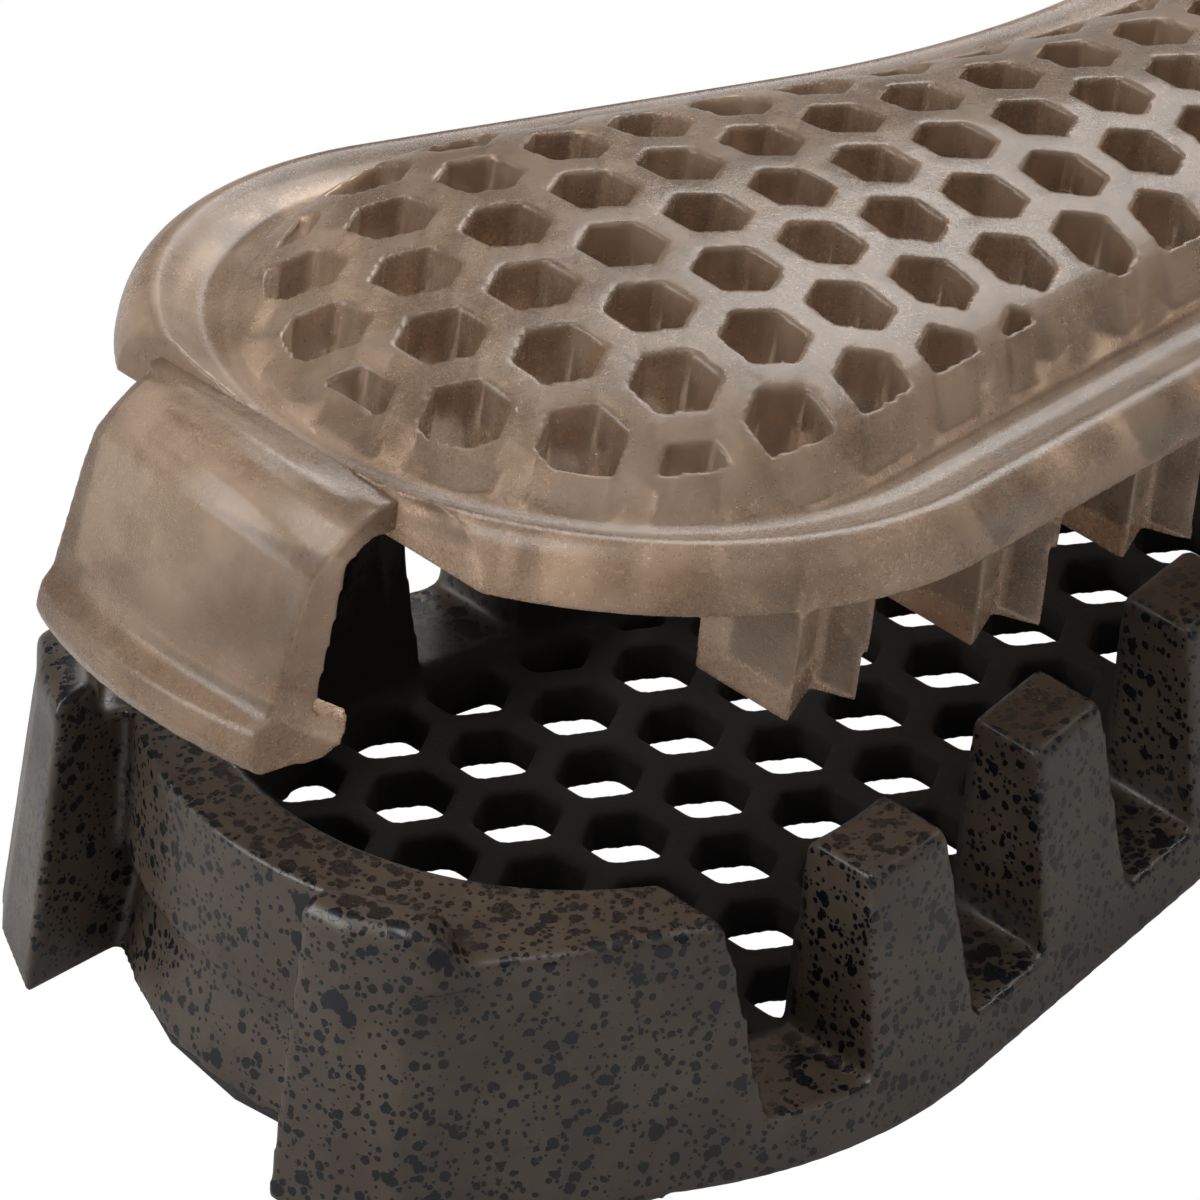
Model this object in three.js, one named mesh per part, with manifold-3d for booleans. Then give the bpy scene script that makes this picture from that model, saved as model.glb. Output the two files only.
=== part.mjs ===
// Traction pad for a snowboard: a hard honeycomb tray, a soft honeycomb grip cap
// that is hinged on its rear tab, and a front tab that snaps under the tray's ledge.
// Millimetres, +Z up, +X towards the hinged end. The origin is on the board face.
import * as THREE from 'three';
import { mergeVertices } from 'three/addons/utils/BufferGeometryUtils.js';
import Module from 'manifold-3d';

const wasm = await Module();
wasm.setup();

// Driving dimensions.
const cellPitch = 6; // distance between neighbouring honeycomb cells
const endCentre = 42.9; // middle of the pad to the centre of an end arc
const endRadius = 23.5; // tray's outline at the rim
const flankAngle = THREE.MathUtils.degToRad(10.5); // how fast the flanks close in
const waistReach = 12.9; // half length of the hollow arc at the waist
const draft = Math.tan(THREE.MathUtils.degToRad(8.4)); // slope of the tray's outer faces
const gap = 0.3; // working clearance between separate pieces

const tapeThickness = 0.8;
const tapeInset = 2.2; // tape edge inside the tray's foot
const tapeWidth = 4.5;

const trayBottom = tapeThickness + 0.1;
const floorTop = trayBottom + 2;
const rimTop = trayBottom + 14.8;
const wallThickness = 4.9;
const floorHoleRadius = 0.41 * cellPitch; // hexagon corner radius
const notchFloor = trayBottom + 3.4;
const notchSpacing = 2.3 * cellPitch;
const notchHalfTop = 4.1;
const notchHalfBottom = 3.1;
const notchesPerSide = 8;

const ledgeHeight = trayBottom + 6.7; // underside of the rim band that the tabs hook under
const tabCentre = 1.65; // tabs stand this far off the pad's long axis
const tabHalfWidth = 8.85;
const gapLow = -8; // the posts' inner sides
const gapHigh = 13;
const postWidth = 4.3;
const postReach = 4.4; // post stands this far out of the rim band
const postTop = rimTop + 2.4;

const capBottom = rimTop + gap;
const capRadius = 24.2; // skirt's outline at its lower edge
const capUnderside = capBottom + 2.2;
const skirtWidth = 6.2;
const domeTop = capBottom + 8.4;
const capHoleRadius = 0.39 * cellPitch;
const ribDepth = 6.3;
const ribHalfWidth = 2.5;
const ribLead = 0.5; // ribs stand nearer the hinge, for room as the cap swings
const facetReach = 20.1; // end arc's centre to the flat cut on the cap's end

const hingeHeight = capBottom + 2.3;
const openAngle = THREE.MathUtils.degToRad(9); // cap as it lies open

// The pad's outline, a given distance inside the line of radius endRadius, as a closed loop.
function outline(inset, arcSteps = 18) {
  const waistRadius = waistReach / Math.sin(flankAngle);
  const flankX = endCentre - endRadius * Math.sin(flankAngle);
  const flankY = endRadius * Math.cos(flankAngle);
  const waistStart = flankY - (flankX - waistReach) * Math.tan(flankAngle);
  const waistCentre = waistStart + waistRadius * Math.cos(flankAngle);
  const points = [];
  const addArc = (cx, cy, radius, from, to, steps) => {
    for (let i = 0; i <= steps; i++) {
      const angle = from + ((to - from) * i) / steps;
      points.push(new THREE.Vector2(cx + radius * Math.cos(angle), cy + radius * Math.sin(angle)));
    }
  };
  const side = Math.PI / 2;
  const endSweep = side + flankAngle;
  const waist = waistRadius + inset;
  addArc(endCentre, 0, endRadius - inset, -endSweep, endSweep, arcSteps);
  addArc(0, waistCentre, waist, flankAngle - side, -flankAngle - side, 2);
  addArc(-endCentre, 0, endRadius - inset, Math.PI - endSweep, Math.PI + endSweep, arcSteps);
  addArc(0, -waistCentre, waist, flankAngle + side, side - flankAngle, 2);
  return points;
}

// Half width of the outline at a place along the pad.
function halfWidth(x, inset) {
  const loop = outline(inset, 36);
  let widest = 0;
  loop.forEach((a, i) => {
    const b = loop[(i + 1) % loop.length];
    if ((a.x - x) * (b.x - x) > 0 || a.x === b.x) return;
    widest = Math.max(widest, a.y + ((b.y - a.y) * (x - a.x)) / (b.x - a.x));
  });
  return widest;
}

// A solid from a geometry: only positions are kept, and shared corners are merged.
function toSolid(geometry) {
  const bare = geometry.index ? geometry.toNonIndexed() : geometry.clone();
  bare.deleteAttribute('normal');
  bare.deleteAttribute('uv');
  const merged = mergeVertices(bare, 1e-4);
  return new wasm.Manifold(new wasm.Mesh({
    numProp: 3,
    vertProperties: new Float32Array(merged.attributes.position.array),
    triVerts: new Uint32Array(merged.index.array),
  }));
}

// A closed solid through matching loops of points, one loop at each height.
function loft(rings) {
  const size = rings[0].points.length;
  const positions = rings.flatMap(({ points, z }) => points.flatMap((p) => [p.x, p.y, z]));
  const index = [];
  for (let r = 0; r + 1 < rings.length; r++) {
    for (let i = 0; i < size; i++) {
      const a = r * size + i;
      const b = r * size + ((i + 1) % size);
      index.push(a, b, b + size, a, b + size, a + size);
    }
  }
  const top = (rings.length - 1) * size;
  THREE.ShapeUtils.triangulateShape(rings[0].points, []).forEach(([a, b, c]) => index.push(a, c, b));
  THREE.ShapeUtils.triangulateShape(rings.at(-1).points, [])
    .forEach(([a, b, c]) => index.push(top + a, top + b, top + c));
  const geometry = new THREE.BufferGeometry();
  geometry.setAttribute('position', new THREE.Float32BufferAttribute(positions, 3));
  geometry.setIndex(index);
  return toSolid(geometry);
}

const loop = (points) => points.map(([x, y]) => new THREE.Vector2(x, y));
const rectangle = (x0, x1, y0, y1) => loop([[x0, y0], [x1, y0], [x1, y1], [x0, y1]]);
const block = (x0, x1, y0, y1, z0, z1) => loft([
  { points: rectangle(x0, x1, y0, y1), z: z0 },
  { points: rectangle(x0, x1, y0, y1), z: z1 },
]);

// A six-sided pin through the honeycomb, with two flats facing along the pad.
function hexPin(x, y, radius, z0, z1) {
  const pin = new THREE.CylinderGeometry(radius, radius, z1 - z0, 6);
  pin.rotateX(Math.PI / 2);
  pin.translate(x, y, (z0 + z1) / 2);
  return toSolid(pin);
}

// Honeycomb cell centres whose cell lies inside the outline at a given inset.
function cells(inset, shift) {
  const found = [];
  const rowStep = (cellPitch * Math.sqrt(3)) / 2;
  for (let row = -4; row <= 4; row++) {
    for (let i = -12; i <= 12; i++) {
      const x = (i + shift + (row % 2 ? 0.5 : 0)) * cellPitch;
      const y = row * rowStep;
      const reach = endCentre + endRadius - inset;
      if (Math.abs(x) >= reach || Math.abs(y) > halfWidth(x, inset)) continue;
      found.push([x, y]);
    }
  }
  return found;
}

function cutAll(body, cutters) {
  return cutters.reduce((left, cutter) => left.subtract(cutter), body);
}

function toMesh(solid, name, finish) {
  const { vertProperties, triVerts } = solid.getMesh();
  const geometry = new THREE.BufferGeometry();
  geometry.setAttribute('position', new THREE.Float32BufferAttribute(vertProperties, 3));
  geometry.setIndex(new THREE.Uint32BufferAttribute(triVerts, 1));
  const mesh = new THREE.Mesh(geometry, new THREE.MeshStandardMaterial(finish));
  mesh.name = name;
  return mesh;
}

// Both ends are alike: what is made for the front is turned half round for the rear.
const bothEnds = (solid) => [solid, solid.rotate([0, 0, 180])];
const onArc = (radius, angle) => [-endCentre - radius * Math.cos(angle), radius * Math.sin(angle)];

// Tray
const onEdge = (radius, edge) => [-endCentre - Math.sqrt(radius * radius - edge * edge), edge];

function post(edge, side) {
  const start = Math.asin(edge / endRadius);
  const turn = (side * postWidth) / endRadius;
  const outer = endRadius + postReach;
  const footing = (lean) => loop([
    onEdge(endRadius - 2, edge),
    onEdge(outer + lean, edge),
    onArc(outer + lean, start + turn * 0.8),
    onArc(endRadius - 0.2 + lean, start + turn * 2.4),
    onArc(endRadius - 2, start + turn * 2.4),
  ]);
  const crown = (lean, far) => loop([
    onEdge(capRadius + 0.6, edge),
    onEdge(outer + lean, edge),
    onArc(outer + lean, start + turn * far),
    onArc(capRadius + 0.6, start + turn * far),
  ]);
  const wound = (points) => (side > 0 ? [...points].reverse() : points);
  const rise = rimTop - trayBottom;
  const stem = loft([
    { points: wound(footing(rise * draft)), z: trayBottom },
    { points: wound(footing(0)), z: rimTop },
  ]);
  const head = loft([
    { points: wound(crown(0, 0.8)), z: rimTop - 1 },
    { points: wound(crown(-0.3, 0.7)), z: postTop },
  ]);
  return stem.add(head);
}

function makeTray() {
  const rise = rimTop - trayBottom;
  const body = loft([
    { points: outline(0.5 - rise * draft), z: trayBottom },
    { points: outline(-(rise - 0.5) * draft), z: trayBottom + 0.5 },
    { points: outline(0), z: rimTop - 0.5 },
    { points: outline(0.5), z: rimTop },
  ]);
  const hollow = loft([
    { points: outline(wallThickness + 0.5), z: floorTop },
    { points: outline(wallThickness), z: rimTop - 0.5 },
    { points: outline(wallThickness - 0.8), z: rimTop + 0.3 },
  ]);
  const posts = bothEnds(post(gapLow, -1)).concat(bothEnds(post(gapHigh, 1)));
  const shell = posts.reduce((sum, piece) => sum.add(piece), body).subtract(hollow);
  const holes = cells(wallThickness + floorHoleRadius + 0.9, 0.5)
    .map(([x, y]) => hexPin(x, y, floorHoleRadius, trayBottom - 1, floorTop + 1));
  const notches = [];
  for (let i = 0; i < notchesPerSide; i++) {
    const x = (i - (notchesPerSide - 1) / 2) * notchSpacing;
    const outerY = halfWidth(x, 0) + 6;
    const innerY = halfWidth(x, wallThickness) - 4;
    const section = (half) => rectangle(x - half, x + half, innerY, outerY);
    const cutter = loft([
      { points: section(notchHalfBottom), z: notchFloor },
      { points: section(notchHalfTop), z: rimTop + 0.5 },
    ]);
    notches.push(cutter, cutter.rotate([0, 0, 180]));
  }
  return cutAll(shell, [...holes, ...notches, ...bothEnds(ledgeCut())]);
}

// The hollow below the rim band that takes a tab's foot.
function ledgeCut() {
  const steps = 6;
  const sector = (radius) => {
    const from = Math.asin(gapLow / radius);
    const to = Math.asin(gapHigh / radius);
    const points = [];
    for (let i = 0; i <= steps; i++) points.push(onArc(radius, from + ((to - from) * i) / steps));
    const out = -endCentre - endRadius - 9;
    return loop([...points, [out, gapHigh], [out, gapLow]]);
  };
  return loft([
    { points: sector(endRadius + 0.6), z: trayBottom - 1 },
    { points: sector(endRadius - 1.4), z: ledgeHeight },
  ]);
}

// Grip cap: its shell is a crowned plate on a skirt, and its crown falls towards the ends.
const crown = [
  // distance inside the skirt's edge, height above the skirt's lower edge
  [0, 0], [-0.1, 2.2], [0.7, 3.3], [1.6, 3.2], [3.6, 2.3], [5.2, 3.4], [6.8, 5.9], [9.6, 7.3], [14, 8.1],
];

function makeCap() {
  const lift = endRadius - capRadius;
  const rings = crown.map(([inset, rise]) => ({
    points: outline(lift + inset), z: capBottom + rise,
  }));
  const shell = loft(rings);
  const hollow = loft([
    { points: outline(lift + skirtWidth), z: capBottom - 1 },
    { points: outline(lift + skirtWidth + 0.5), z: capUnderside },
  ]);
  const holes = cells(lift + skirtWidth + 0.6, 0)
    .map(([x, y]) => hexPin(x, y, capHoleRadius, capBottom - 1, domeTop + 1));
  const facet = endCentre + facetReach;
  const ends = bothEnds(block(-facet - 20, -facet, -30, 30, capBottom - 5, domeTop + 5));
  const body = cutAll(shell, [hollow, ...holes, ...ends]);
  return ribs().reduce((sum, rib) => sum.add(rib), body);
}

// Locating ribs: stepped plates that hang below the skirt, one in each notch.
function ribs() {
  const made = [];
  for (let i = 0; i < notchesPerSide; i++) {
    const x = (i - (notchesPerSide - 1) / 2) * notchSpacing + ribLead;
    const edge = halfWidth(x, endRadius - capRadius);
    const plan = (half, inward) => loop([
      [x - half, edge - skirtWidth - 0.6],
      [x + half, edge - skirtWidth - 0.6],
      [x + half, edge - 0.4 - inward],
      [x + half * 0.7, edge - 2.2],
      [x - half, edge - 0.9 - inward],
    ]);
    const plate = (side) => {
      const turned = (points) => (side > 0 ? points : loop(points.map((p) => [p.x, -p.y])).reverse());
      return loft([
        { points: turned(plan(ribHalfWidth - 0.4, 0.4)), z: capBottom - ribDepth },
        { points: turned(plan(ribHalfWidth, 0)), z: capBottom + 1 },
      ]);
    };
    made.push(plate(1), plate(-1));
  }
  return made;
}

// A tab: a roof over the rim band, a slab down its outer face and a foot under its ledge.
function makeTab() {
  const low = tabCentre - tabHalfWidth;
  const high = tabCentre + tabHalfWidth;
  const face = endCentre + facetReach + gap; // the tab starts at the cap's end face
  const inner = endCentre + endRadius + 0.5;
  const bandDrop = rimTop - ledgeHeight;
  const profile = loop([
    [face, capBottom],
    [inner + 0.1, capBottom],
    [inner + bandDrop * draft, ledgeHeight - gap],
    [inner - 1.0, ledgeHeight - gap],
    [inner - 1.0, ledgeHeight - 2.6],
    [inner - 0.2, ledgeHeight - 3.3],
    [inner + 3.7, ledgeHeight - 3.0],
    [inner + 4.4, ledgeHeight - 1.6],
    [inner + 4.2, ledgeHeight + 0.2],
    [inner + 3.4, ledgeHeight + 1.2],
    [inner + 2.7, rimTop + 0.3],
    [inner + 1.8, capBottom + 1.6],
    [inner + 0.6, capBottom + 2.1],
    [face, capBottom + 2.3],
  ]);
  const slab = new THREE.ExtrudeGeometry(new THREE.Shape(profile), { depth: high - low, bevelEnabled: false });
  slab.rotateX(Math.PI / 2);
  slab.translate(0, high, 0);
  const solid = toSolid(slab).rotate([0, 0, 180]).translate([0, 2 * tabCentre, 0]);
  const clearance = loft([
    { points: bandArc(ledgeHeight - gap), z: ledgeHeight - gap },
    { points: bandArc(capBottom), z: capBottom },
  ]);
  return solid.subtract(clearance);
}

// Room behind a tab's slab for the round outer face of the rim band.
function bandArc(z) {
  const radius = endRadius + (rimTop - z) * draft + 0.5;
  const points = [];
  const steps = 8;
  for (let i = 0; i <= steps; i++) points.push(onArc(radius, 0.6 - (1.2 * i) / steps));
  points.push(new THREE.Vector2(-endCentre, -13.2), new THREE.Vector2(-endCentre, 13.2));
  return loop(points);
}

// Mounting tape: a ring of foam adhesive below the tray's walls.
function makeTape() {
  const foot = tapeInset - (rimTop - trayBottom) * draft;
  const ring = new THREE.Shape(outline(foot, 14));
  ring.holes.push(new THREE.Path(outline(foot + tapeWidth, 14)));
  return toSolid(new THREE.ExtrudeGeometry(ring, { depth: tapeThickness, bevelEnabled: false }));
}

const trayFinish = { color: 0x5a4d3f, roughness: 0.45, metalness: 0.1 };
const capFinish = { color: 0x9a8775, roughness: 0.4, metalness: 0, transparent: true, opacity: 0.85 };
const tapeFinish = { color: 0x2b2b2d, roughness: 0.9, metalness: 0 };

const tray = toMesh(makeTray(), 'tray', trayFinish);
const tape = toMesh(makeTape(), 'mounting_tape', tapeFinish);
const tab = makeTab();
const rearTab = toMesh(tab.rotate([0, 0, 180]), 'rear_tab', capFinish);

// Each swinging piece is made in its closed place, inside a group that turns about its hinge.
function swing(solid, name, finish, hinge, angle) {
  const group = new THREE.Group();
  const mesh = toMesh(solid.translate([-hinge.x, -hinge.y, -hinge.z]), name, finish);
  group.position.copy(hinge);
  group.rotation.y = angle;
  group.add(mesh);
  return group;
}

const hingeReach = endCentre + facetReach;
const rearHinge = new THREE.Vector3(hingeReach, 0, hingeHeight);
const frontHinge = new THREE.Vector3(-hingeReach, 0, hingeHeight);
const cap = swing(makeCap(), 'grip_cap', capFinish, rearHinge, openAngle);
const frontTab = swing(tab, 'front_tab', capFinish, frontHinge, 0);
frontTab.position.sub(rearHinge);
cap.add(frontTab);

const pad = new THREE.Group();
pad.add(tape, tray, rearTab, cap);

export default pad;
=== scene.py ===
import math

import bmesh
import bpy
from mathutils import Matrix, Vector
from mathutils.geometry import delaunay_2d_cdt


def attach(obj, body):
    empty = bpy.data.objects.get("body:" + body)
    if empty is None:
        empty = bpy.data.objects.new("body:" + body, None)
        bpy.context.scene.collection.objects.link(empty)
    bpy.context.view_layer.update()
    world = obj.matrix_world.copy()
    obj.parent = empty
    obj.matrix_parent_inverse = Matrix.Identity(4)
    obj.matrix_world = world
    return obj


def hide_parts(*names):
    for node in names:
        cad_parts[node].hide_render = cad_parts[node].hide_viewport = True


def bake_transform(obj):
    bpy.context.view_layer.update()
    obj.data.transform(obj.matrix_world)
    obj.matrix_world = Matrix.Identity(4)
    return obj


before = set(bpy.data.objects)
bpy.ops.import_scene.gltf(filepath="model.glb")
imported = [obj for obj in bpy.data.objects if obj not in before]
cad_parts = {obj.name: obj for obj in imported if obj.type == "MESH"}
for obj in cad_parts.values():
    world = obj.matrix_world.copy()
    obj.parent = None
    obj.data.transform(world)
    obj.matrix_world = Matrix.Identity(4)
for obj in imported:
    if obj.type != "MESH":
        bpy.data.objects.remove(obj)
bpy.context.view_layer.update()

# Sizes that the tray, the cap and the tabs share, in millimetres. The pad lies along X on the board face.
pad = {
    "cellPitch": 6.0,
    "endCentre": 42.9,  # middle of the pad to the centre of an end arc
    "endRadius": 23.5,  # tray's outline at the rim
    "flankAngle": math.radians(10.5),
    "waistReach": 12.9,
    "draft": math.tan(math.radians(8.4)),
    "trayBottom": 0.9,
    "rimTop": 15.7,
    "ledge": 7.6,
    "capBottom": 16.0,
    "capRadius": 24.2,
    "facet": 63.0,  # flat ends of the cap, where the tabs begin
    "hingeHeight": 18.3,
    "tabCentre": 1.65,
    "gapLow": -8.0,  # the posts' inner sides
    "gapHigh": 13.0,
    "notchStep": 13.8,
    "notchCount": 8,
    "openAngle": math.radians(9),  # the cap's lift at rest
}


# Outline and heights


def waistArc():
    # radius and height of the hollow arc that narrows the middle
    tilt = pad["flankAngle"]
    radius = pad["waistReach"] / math.sin(tilt)
    flankX = pad["endCentre"] - pad["endRadius"] * math.sin(tilt)
    flankY = pad["endRadius"] * math.cos(tilt)
    return radius, flankY - (flankX - pad["waistReach"]) * math.tan(tilt) + radius * math.cos(tilt), flankX


def outline(inset, arcSteps=80, flankSteps=14, waistSteps=12):
    # the pad's plan as a closed loop, inside the tray's rim line by that much
    tilt = pad["flankAngle"]
    waistRadius, waistY = waistArc()[:2]
    ends = math.pi / 2 + tilt
    r, w = pad["endRadius"] - inset, waistRadius + inset
    half = []
    for i in range(arcSteps + 1):
        a = -ends + 2 * ends * i / arcSteps
        half.append((pad["endCentre"] + r * math.cos(a), r * math.sin(a)))
    arc = []
    for i in range(waistSteps + 1):
        a = -math.pi / 2 + tilt - 2 * tilt * i / waistSteps
        arc.append((w * math.cos(a), waistY + w * math.sin(a)))
    start, stop = half[-1], arc[0]
    for i in range(1, flankSteps):
        t = i / flankSteps
        half.append((start[0] + (stop[0] - start[0]) * t, start[1] + (stop[1] - start[1]) * t))
    half += arc
    start, stop = arc[-1], (-half[0][0], -half[0][1])
    for i in range(1, flankSteps):
        t = i / flankSteps
        half.append((start[0] + (stop[0] - start[0]) * t, start[1] + (stop[1] - start[1]) * t))
    return half + [(-x, -y) for x, y in half]


def insetAt(x, y):
    # how far a point lies inside the tray's rim line
    tilt = pad["flankAngle"]
    waistRadius, waistY, flankX = waistArc()
    dx, dy = abs(x) - pad["endCentre"], abs(y)
    along = -dx * math.cos(tilt) - dy * math.sin(tilt)
    if along <= 0:
        return pad["endRadius"] - math.hypot(dx, dy)
    if along <= (flankX - pad["waistReach"]) / math.cos(tilt):
        return pad["endRadius"] + dx * math.sin(tilt) - dy * math.cos(tilt)
    return math.hypot(x, waistY - dy) - waistRadius


def halfWidth(x, inset):
    low, high = 0.0, 30.0
    for _ in range(40):
        middle = (low + high) / 2
        if insetAt(x, middle) > inset:
            low = middle
        else:
            high = middle
    return low


def onArc(radius, angle):
    return (-pad["endCentre"] - radius * math.cos(angle), radius * math.sin(angle))


def onEdge(radius, edge):
    return (-pad["endCentre"] - math.sqrt(radius * radius - edge * edge), edge)


def smooth(t):
    t = min(max(t, 0.0), 1.0)
    return t * t * (3 - 2 * t)


def along(table, at):
    # reads a height off a profile of (place, height) pairs, with an easy curve through them
    if at <= table[0][0]:
        return table[0][1]
    for i in range(len(table) - 1):
        (x0, y0), (x1, y1) = table[i], table[i + 1]
        if at <= x1:
            before = table[max(i - 1, 0)]
            after = table[min(i + 2, len(table) - 1)]
            m0 = (y1 - before[1]) / max(x1 - before[0], 1e-6)
            m1 = (after[1] - y0) / max(after[0] - x0, 1e-6)
            h = x1 - x0
            t = (at - x0) / h
            return (
                (2 * t**3 - 3 * t**2 + 1) * y0 + (t**3 - 2 * t**2 + t) * h * m0
                + (3 * t**2 - 2 * t**3) * y1 + (t**3 - t**2) * h * m1
            )
    return table[-1][1]


# Mesh helpers


def meshObject(name, points, faces):
    mesh = bpy.data.meshes.new(name)
    mesh.from_pydata([(x / 1000, y / 1000, z / 1000) for x, y, z in points], [], faces)
    made = bpy.data.objects.new(name, mesh)
    bpy.context.scene.collection.objects.link(made)
    shape = bmesh.new()
    shape.from_mesh(mesh)
    bmesh.ops.recalc_face_normals(shape, faces=shape.faces)
    shape.to_mesh(mesh)
    shape.free()
    return made


def loftObject(name, rings):
    # a closed solid through matching loops; each ring is a list of (x, y, z)
    size = len(rings[0])
    points = [p for ring in rings for p in ring]
    faces = []
    for r in range(len(rings) - 1):
        for i in range(size):
            a, b = r * size + i, r * size + (i + 1) % size
            faces.append((a, b, b + size, a + size))
    faces.append(tuple(range(size))[::-1])
    faces.append(tuple(range((len(rings) - 1) * size, len(rings) * size)))
    return meshObject(name, points, faces)


def flat(loop, z):
    return [(x, y, z) for x, y in loop]


def prism(name, loop, low, high):
    return loftObject(name, [flat(loop, low), flat(loop, high)])


def sheetSolid(name, rings, gridStep, top, bottom):
    # a closed plate over the plan, whose upper and lower heights follow two rules
    points = [Vector(p) for p in outline(rings[0])]
    edge = len(points)
    for inset in rings[1:]:
        points += [Vector(p) for p in outline(inset)]
    reach = int(70 / gridStep)
    for i in range(-reach, reach + 1):
        for j in range(-reach, reach + 1):
            x, y = (i + 0.5 * (j % 2)) * gridStep, j * gridStep * 0.866
            if abs(y) < 30 and insetAt(x, y) > rings[-1] + gridStep * 0.6:
                points.append(Vector((x, y)))
    border = [(i, (i + 1) % edge) for i in range(edge)]
    flatPoints, _, faces, _, _, _ = delaunay_2d_cdt(points, border, [], 1, 1e-5)
    count = len(flatPoints)
    solid = [(p.x, p.y, top(p.x, p.y)) for p in flatPoints]
    solid += [(p.x, p.y, bottom(p.x, p.y)) for p in flatPoints]
    walls = {}
    for face in faces:
        for a, b in zip(face, list(face[1:]) + [face[0]]):
            walls[(a, b)] = walls.get((a, b), 0) + 1
    outer = [(a, b) for (a, b) in walls if (b, a) not in walls]
    allFaces = [tuple(face) for face in faces]
    allFaces += [tuple(i + count for i in reversed(face)) for face in faces]
    allFaces += [(b, a, a + count, b + count) for a, b in outer]
    return meshObject(name, solid, allFaces)


def combine(base, others, operation):
    for other in others:
        step = base.modifiers.new("cut", "BOOLEAN")
        step.operation = operation
        step.solver = "MANIFOLD"
        step.object = other
    return bakeModifiers(base, others)


def bakeModifiers(made, used=()):
    bpy.context.view_layer.update()
    depsgraph = bpy.context.evaluated_depsgraph_get()
    mesh = bpy.data.meshes.new_from_object(made.evaluated_get(depsgraph), depsgraph=depsgraph)
    made.modifiers.clear()
    old, made.data = made.data, mesh
    bpy.data.meshes.remove(old)
    mesh.name = made.name
    for other in used:
        bpy.data.objects.remove(other)
    return made


def joinAll(base, others):
    shape = bmesh.new()
    shape.from_mesh(base.data)
    for other in others:
        shape.from_mesh(other.data)
        bpy.data.objects.remove(other)
    shape.to_mesh(base.data)
    shape.free()
    return base


def moulded(made, voxel, passes, faceLimit):
    # runs the solids together and gives every edge a small moulded radius
    remesh = made.modifiers.new("skin", "REMESH")
    remesh.mode = "VOXEL"
    remesh.voxel_size = voxel / 1000
    soften = made.modifiers.new("soften", "SMOOTH")
    soften.factor = 0.5
    soften.iterations = passes
    bakeModifiers(made)
    triangles = sum(len(p.vertices) - 2 for p in made.data.polygons)
    if triangles > faceLimit:
        thin = made.modifiers.new("thin", "DECIMATE")
        thin.ratio = faceLimit / triangles
        bakeModifiers(made)
    for polygon in made.data.polygons:
        polygon.use_smooth = True
    print(made.name, "faces", len(made.data.polygons), "from", triangles)
    return made


# Geometry Nodes trees


def newTree(name, inputs):
    tree = bpy.data.node_groups.new(name, "GeometryNodeTree")
    tree.interface.new_socket("Geometry", in_out="INPUT", socket_type="NodeSocketGeometry")
    for label, kind, value in inputs:
        socket = tree.interface.new_socket(label, in_out="INPUT", socket_type=kind)
        if value is not None:
            socket.default_value = value
    tree.interface.new_socket("Geometry", in_out="OUTPUT", socket_type="NodeSocketGeometry")
    return tree


def addNode(tree, kind, settings=None, **links):
    node = tree.nodes.new(kind)
    for key, value in (settings or {}).items():
        setattr(node, key, value)
    for key, value in links.items():
        socket = node.inputs[key.replace("_", " ")] if key.replace("_", " ") in node.inputs else None
        if socket is None:
            socket = node.inputs[int(key[1:])]
        if isinstance(value, bpy.types.NodeSocket):
            tree.links.new(value, socket)
        else:
            socket.default_value = value
    return node


def mathNode(tree, operation, *values):
    node = tree.nodes.new("ShaderNodeMath")
    node.operation = operation
    for i, value in enumerate(values):
        if isinstance(value, bpy.types.NodeSocket):
            tree.links.new(value, node.inputs[i])
        else:
            node.inputs[i].default_value = value
    return node.outputs[0]


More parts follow.
